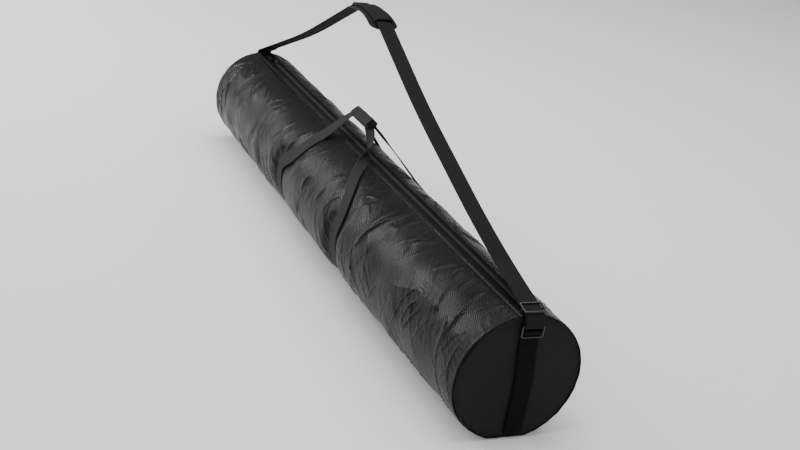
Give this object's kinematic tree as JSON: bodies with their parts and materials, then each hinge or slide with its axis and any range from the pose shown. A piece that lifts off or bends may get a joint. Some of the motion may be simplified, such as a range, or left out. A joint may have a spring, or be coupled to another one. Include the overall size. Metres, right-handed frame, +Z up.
{
  "type": "drawing tube carrying bag",
  "caption": "Long soft cylindrical carrying bag for drawing tubes and rolls, with a full-length zip, wrapped carry handles and an adjustable padded shoulder strap.",
  "frame": {"origin": "on the surface the bag rests on, under the middle of its length and width", "axes": "+X along the bag to the front end, which has the strap adjuster; +Y to the bag's left side; +Z up, with the zip along the top"},
  "size_m": [1.2596, 0.2036, 0.4443],
  "materials": {
    "nylon": "satin woven nylon",
    "foam": "closed-cell foam",
    "lining": "plain",
    "end_cloth": "matte woven polyester",
    "board": "matte",
    "piping": "semi-gloss",
    "zip_tape": "woven tape",
    "zip_coil": "nylon coil",
    "webbing": "woven polypropylene",
    "strap_webbing": "woven polypropylene",
    "pad_cloth": "woven polyester",
    "hook_tape": "hook-and-loop tape",
    "black_metal": "black lacquered wire"
  },
  "bodies": {
    "bag": {"right_sleeve_half": "nylon", "left_sleeve_half": "nylon", "foam_padding": "foam", "lining": "lining", "front_end_disc": "end_cloth", "rear_end_disc": "end_cloth", "front_end_board": "board", "rear_end_board": "board", "front_piping": "piping", "rear_piping": "piping", "right_zip_tape": "zip_tape", "left_zip_tape": "zip_tape", "right_zip_coil": "zip_coil", "left_zip_coil": "zip_coil", "zip_end_stops": "black_metal", "front_belly_band": "webbing", "rear_belly_band": "webbing", "right_handle_front_leg": "webbing", "right_handle_rear_leg": "webbing", "left_handle_front_leg": "webbing", "left_handle_rear_leg": "webbing", "front_end_tab": "webbing", "rear_end_tab": "webbing", "front_ring": "black_metal", "rear_ring": "black_metal", "front_strap_root": "strap_webbing", "rear_strap_root": "strap_webbing", "adjuster_return": "strap_webbing", "rear_strap_return": "strap_webbing"},
    "zip_slider": {"zip_slider": "black_metal"},
    "zip_pull": {"zip_pull": "black_metal"},
    "grip": {"right_handle_top": "webbing", "left_handle_top": "webbing", "grip_wrap": "end_cloth", "hook_strip": "hook_tape"},
    "grip_flap": {"grip_flap": "end_cloth", "loop_strip": "hook_tape"},
    "shoulder_strap": {"shoulder_strap": "strap_webbing", "pad_cover": "pad_cloth", "pad_foam": "foam", "pad_base": "pad_cloth"},
    "tri_glide": {"tri_glide": "black_metal"}
  },
  "joints": [
    {"name": "zip_travel", "type": "slide", "parent": "bag", "child": "zip_slider", "axis": [1, 0, 0], "range_m": [-0.036, 1.144]},
    {"name": "zip_pull_hinge", "type": "hinge", "parent": "zip_slider", "child": "zip_pull", "pos_m": [-0.554, 0, 0.201], "axis": [0, -1, 0], "range_deg": [0, 150]},
    {"name": "grip_swing", "type": "hinge", "parent": "bag", "child": "grip", "pos_m": [-0.0385, 0, 0.097], "axis": [1, 0, 0], "range_deg": [-18, 18], "deforming": ["right_handle_front_leg", "right_handle_rear_leg", "left_handle_front_leg", "left_handle_rear_leg"]},
    {"name": "grip_flap_hinge", "type": "hinge", "parent": "grip", "child": "grip_flap", "pos_m": [-0.0385, -0.01101, 0.2489], "axis": [1, 0, 0], "range_deg": [0, 110]},
    {"name": "shoulder_strap_swing", "type": "hinge", "parent": "bag", "child": "shoulder_strap", "pos_m": [0, 0, 0.2015], "axis": [1, 0, 0], "range_deg": [-90, 90], "deforming": ["front_strap_root", "rear_strap_root"]},
    {"name": "tri_glide_travel", "type": "slide", "parent": "bag", "child": "tri_glide", "axis": [-0.9726, 0, 0.2326], "range_m": [0, 0.045], "deforming": ["adjuster_return"]}
  ]
}
